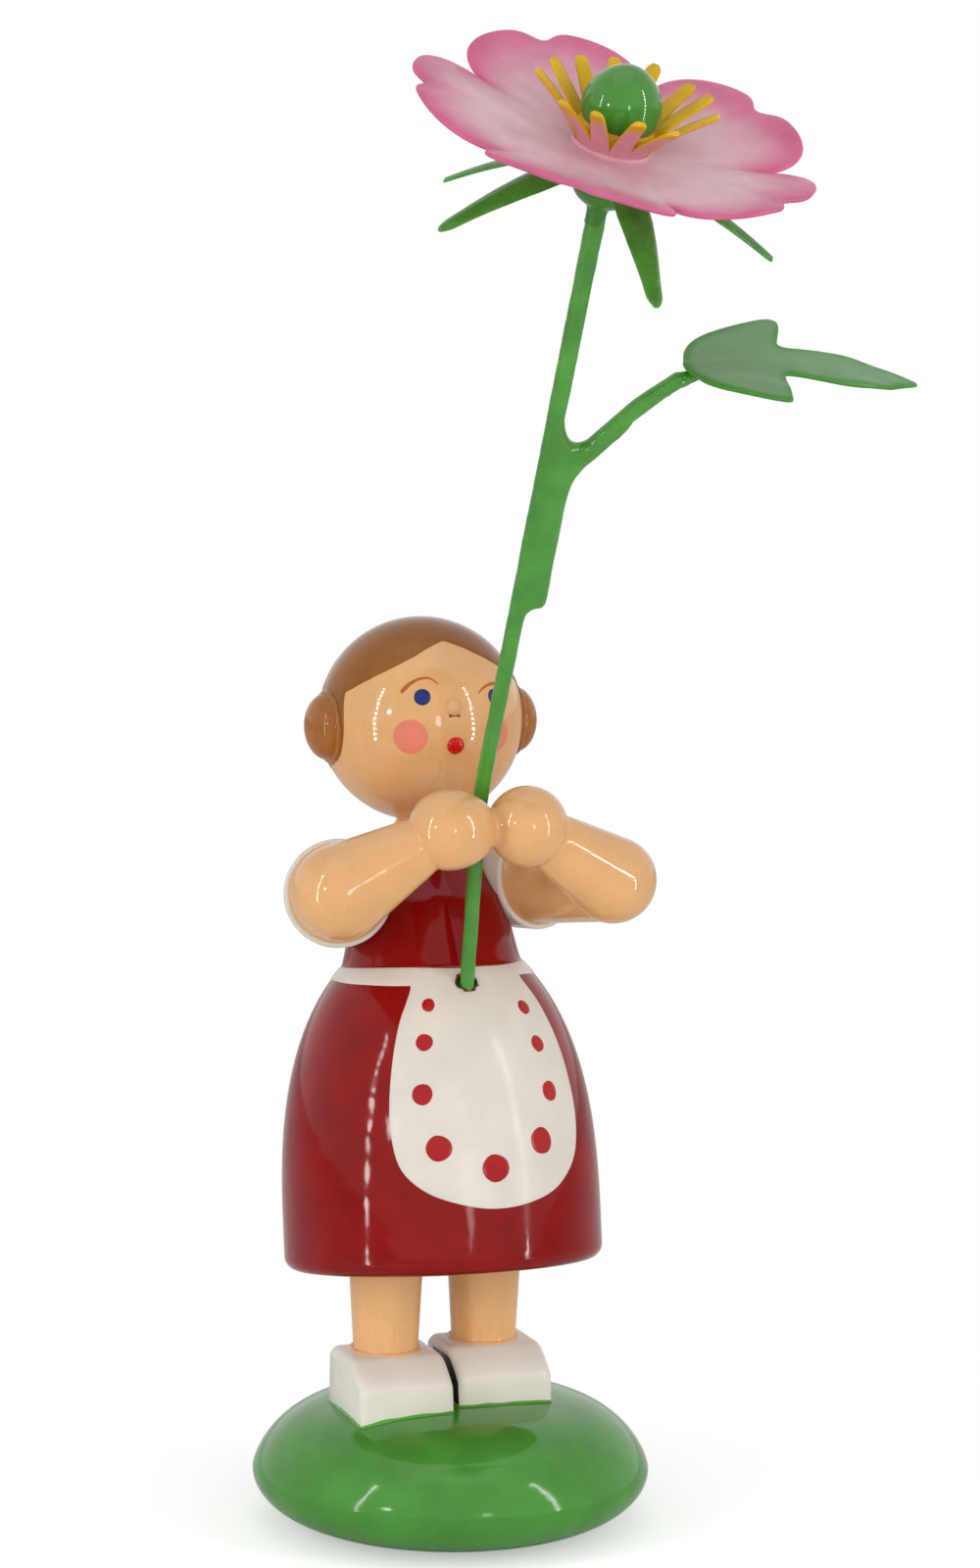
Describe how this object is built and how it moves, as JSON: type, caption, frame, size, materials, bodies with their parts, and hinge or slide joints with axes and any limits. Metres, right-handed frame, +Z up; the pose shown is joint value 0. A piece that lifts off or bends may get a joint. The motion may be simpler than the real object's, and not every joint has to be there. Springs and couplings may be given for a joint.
{
  "type": "turned wooden figurine",
  "caption": "Turned wooden figurine of a girl in a dress on a domed base, holding a long wire stem with an open flower and a leaf.",
  "frame": {"origin": "middle of the base's flat underside", "axes": "+Z up, the figure faces -Y, its left hand is towards +X"},
  "size_m": [0.0415, 0.0613, 0.1124],
  "materials": {
    "base": "glossy green lacquer",
    "shoe_right": "glossy white lacquer",
    "shoe_left": "glossy white lacquer",
    "leg_right": "glossy skin-coloured lacquer",
    "leg_left": "glossy skin-coloured lacquer",
    "body": "glossy deep red lacquer; the white apron is paint",
    "head": "glossy skin-coloured lacquer; face and hair are paint",
    "nose": "glossy skin-coloured lacquer",
    "neck_pin": "bare wood",
    "bun_right": "glossy brown lacquer",
    "bun_left": "glossy brown lacquer",
    "shoulder_pin_right": "bare wood",
    "shoulder_pin_left": "bare wood",
    "upper_arm_right": "glossy lacquer, white at the sleeve",
    "upper_arm_left": "glossy lacquer, white at the sleeve",
    "forearm_right": "glossy skin-coloured lacquer",
    "forearm_left": "glossy skin-coloured lacquer",
    "stem": "glossy green lacquer on wire",
    "leaf_branch": "glossy green lacquer on wire",
    "leaf": "satin green paint on thin sheet",
    "receptacle": "glossy green lacquer",
    "calyx": "satin green paint on thin sheet",
    "corolla": "satin pale pink, deeper pink at the edges",
    "stamen_crown": "satin yellow paint on thin sheet",
    "pistil": "glossy green lacquer"
  },
  "bodies": {
    "root": {"base": "base", "shoe_right": "shoe_right", "shoe_left": "shoe_left", "leg_right": "leg_right", "leg_left": "leg_left", "body": "body", "head": "head", "nose": "nose", "neck_pin": "neck_pin", "bun_right": "bun_right", "bun_left": "bun_left", "shoulder_pin_right": "shoulder_pin_right", "shoulder_pin_left": "shoulder_pin_left", "upper_arm_right": "upper_arm_right", "upper_arm_left": "upper_arm_left", "forearm_right": "forearm_right", "forearm_left": "forearm_left", "stem": "stem", "leaf_branch": "leaf_branch", "leaf": "leaf", "receptacle": "receptacle", "calyx": "calyx", "corolla": "corolla", "stamen_crown": "stamen_crown", "pistil": "pistil"}
  },
  "joints": []
}
